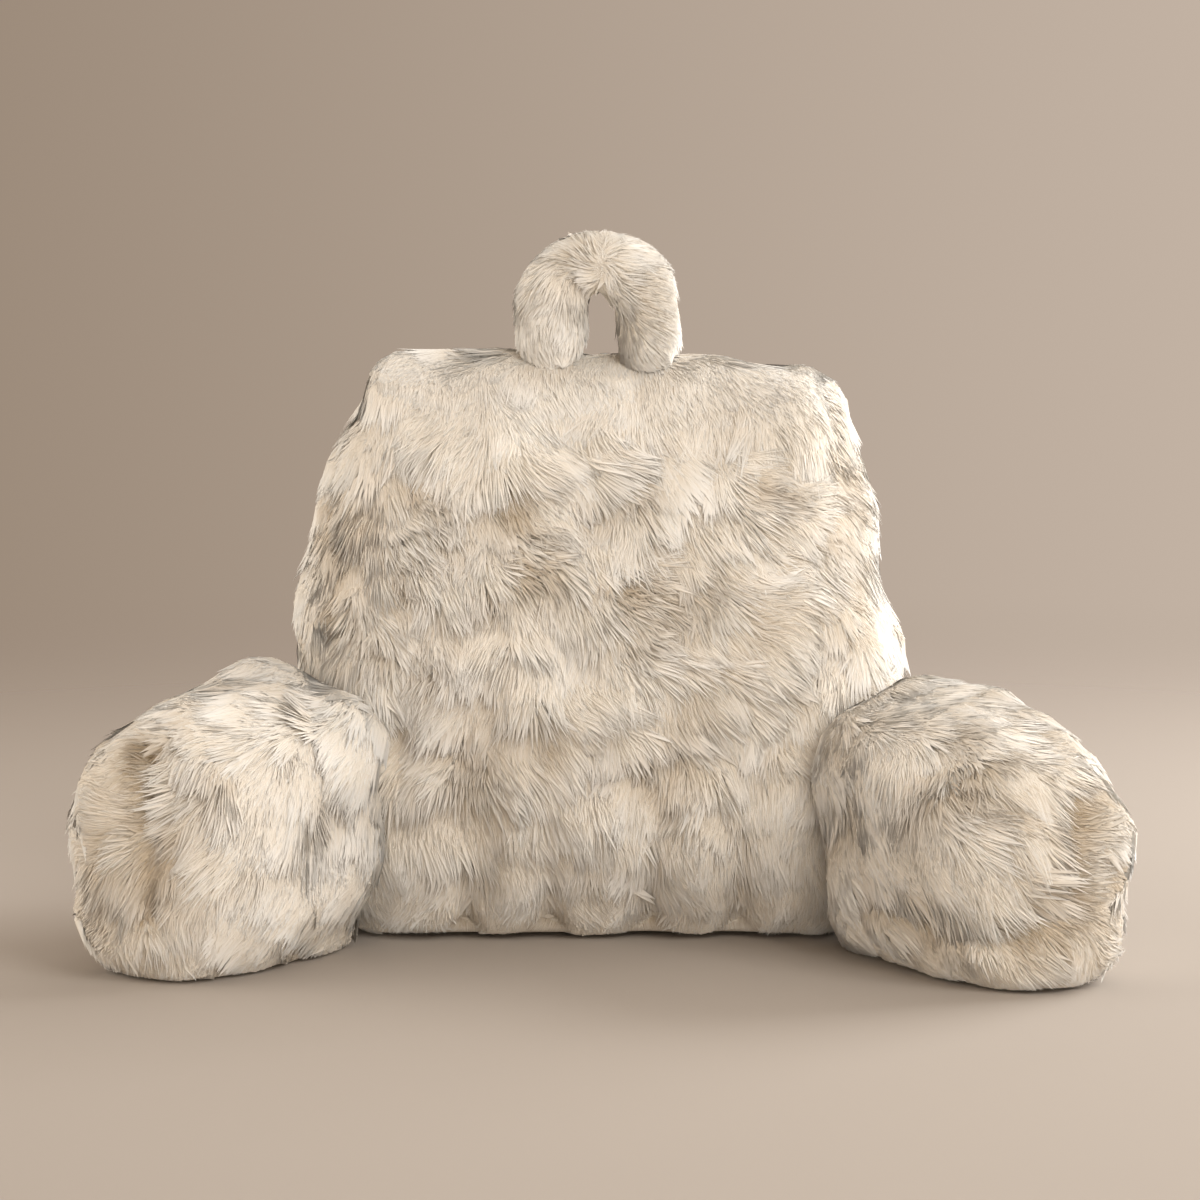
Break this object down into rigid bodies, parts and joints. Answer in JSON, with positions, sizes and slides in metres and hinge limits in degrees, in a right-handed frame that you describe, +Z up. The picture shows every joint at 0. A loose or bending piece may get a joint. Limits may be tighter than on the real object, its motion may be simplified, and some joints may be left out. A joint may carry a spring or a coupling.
{
  "type": "reading pillow",
  "caption": "Upright backrest cushion in long cream faux fur with splayed bolster arms and a stuffed loop handle on its top edge, for sitting up in bed.",
  "frame": {"origin": "bottom centre of the whole pillow's box, on the surface that it stands on", "axes": "+X from the sitter's right arm rest to the left one, -Y towards the sitter's legs, +Z up to the handle"},
  "size_m": [0.7688, 0.397, 0.5234],
  "materials": {
    "backrest_fur": "long cream faux fur",
    "arm_left_fur": "long cream faux fur",
    "arm_right_fur": "long cream faux fur",
    "handle_fur": "long cream faux fur"
  },
  "bodies": {
    "root": {"backrest": "backrest_fur", "arm_left": "arm_left_fur", "arm_right": "arm_right_fur", "handle": "handle_fur"}
  },
  "joints": []
}
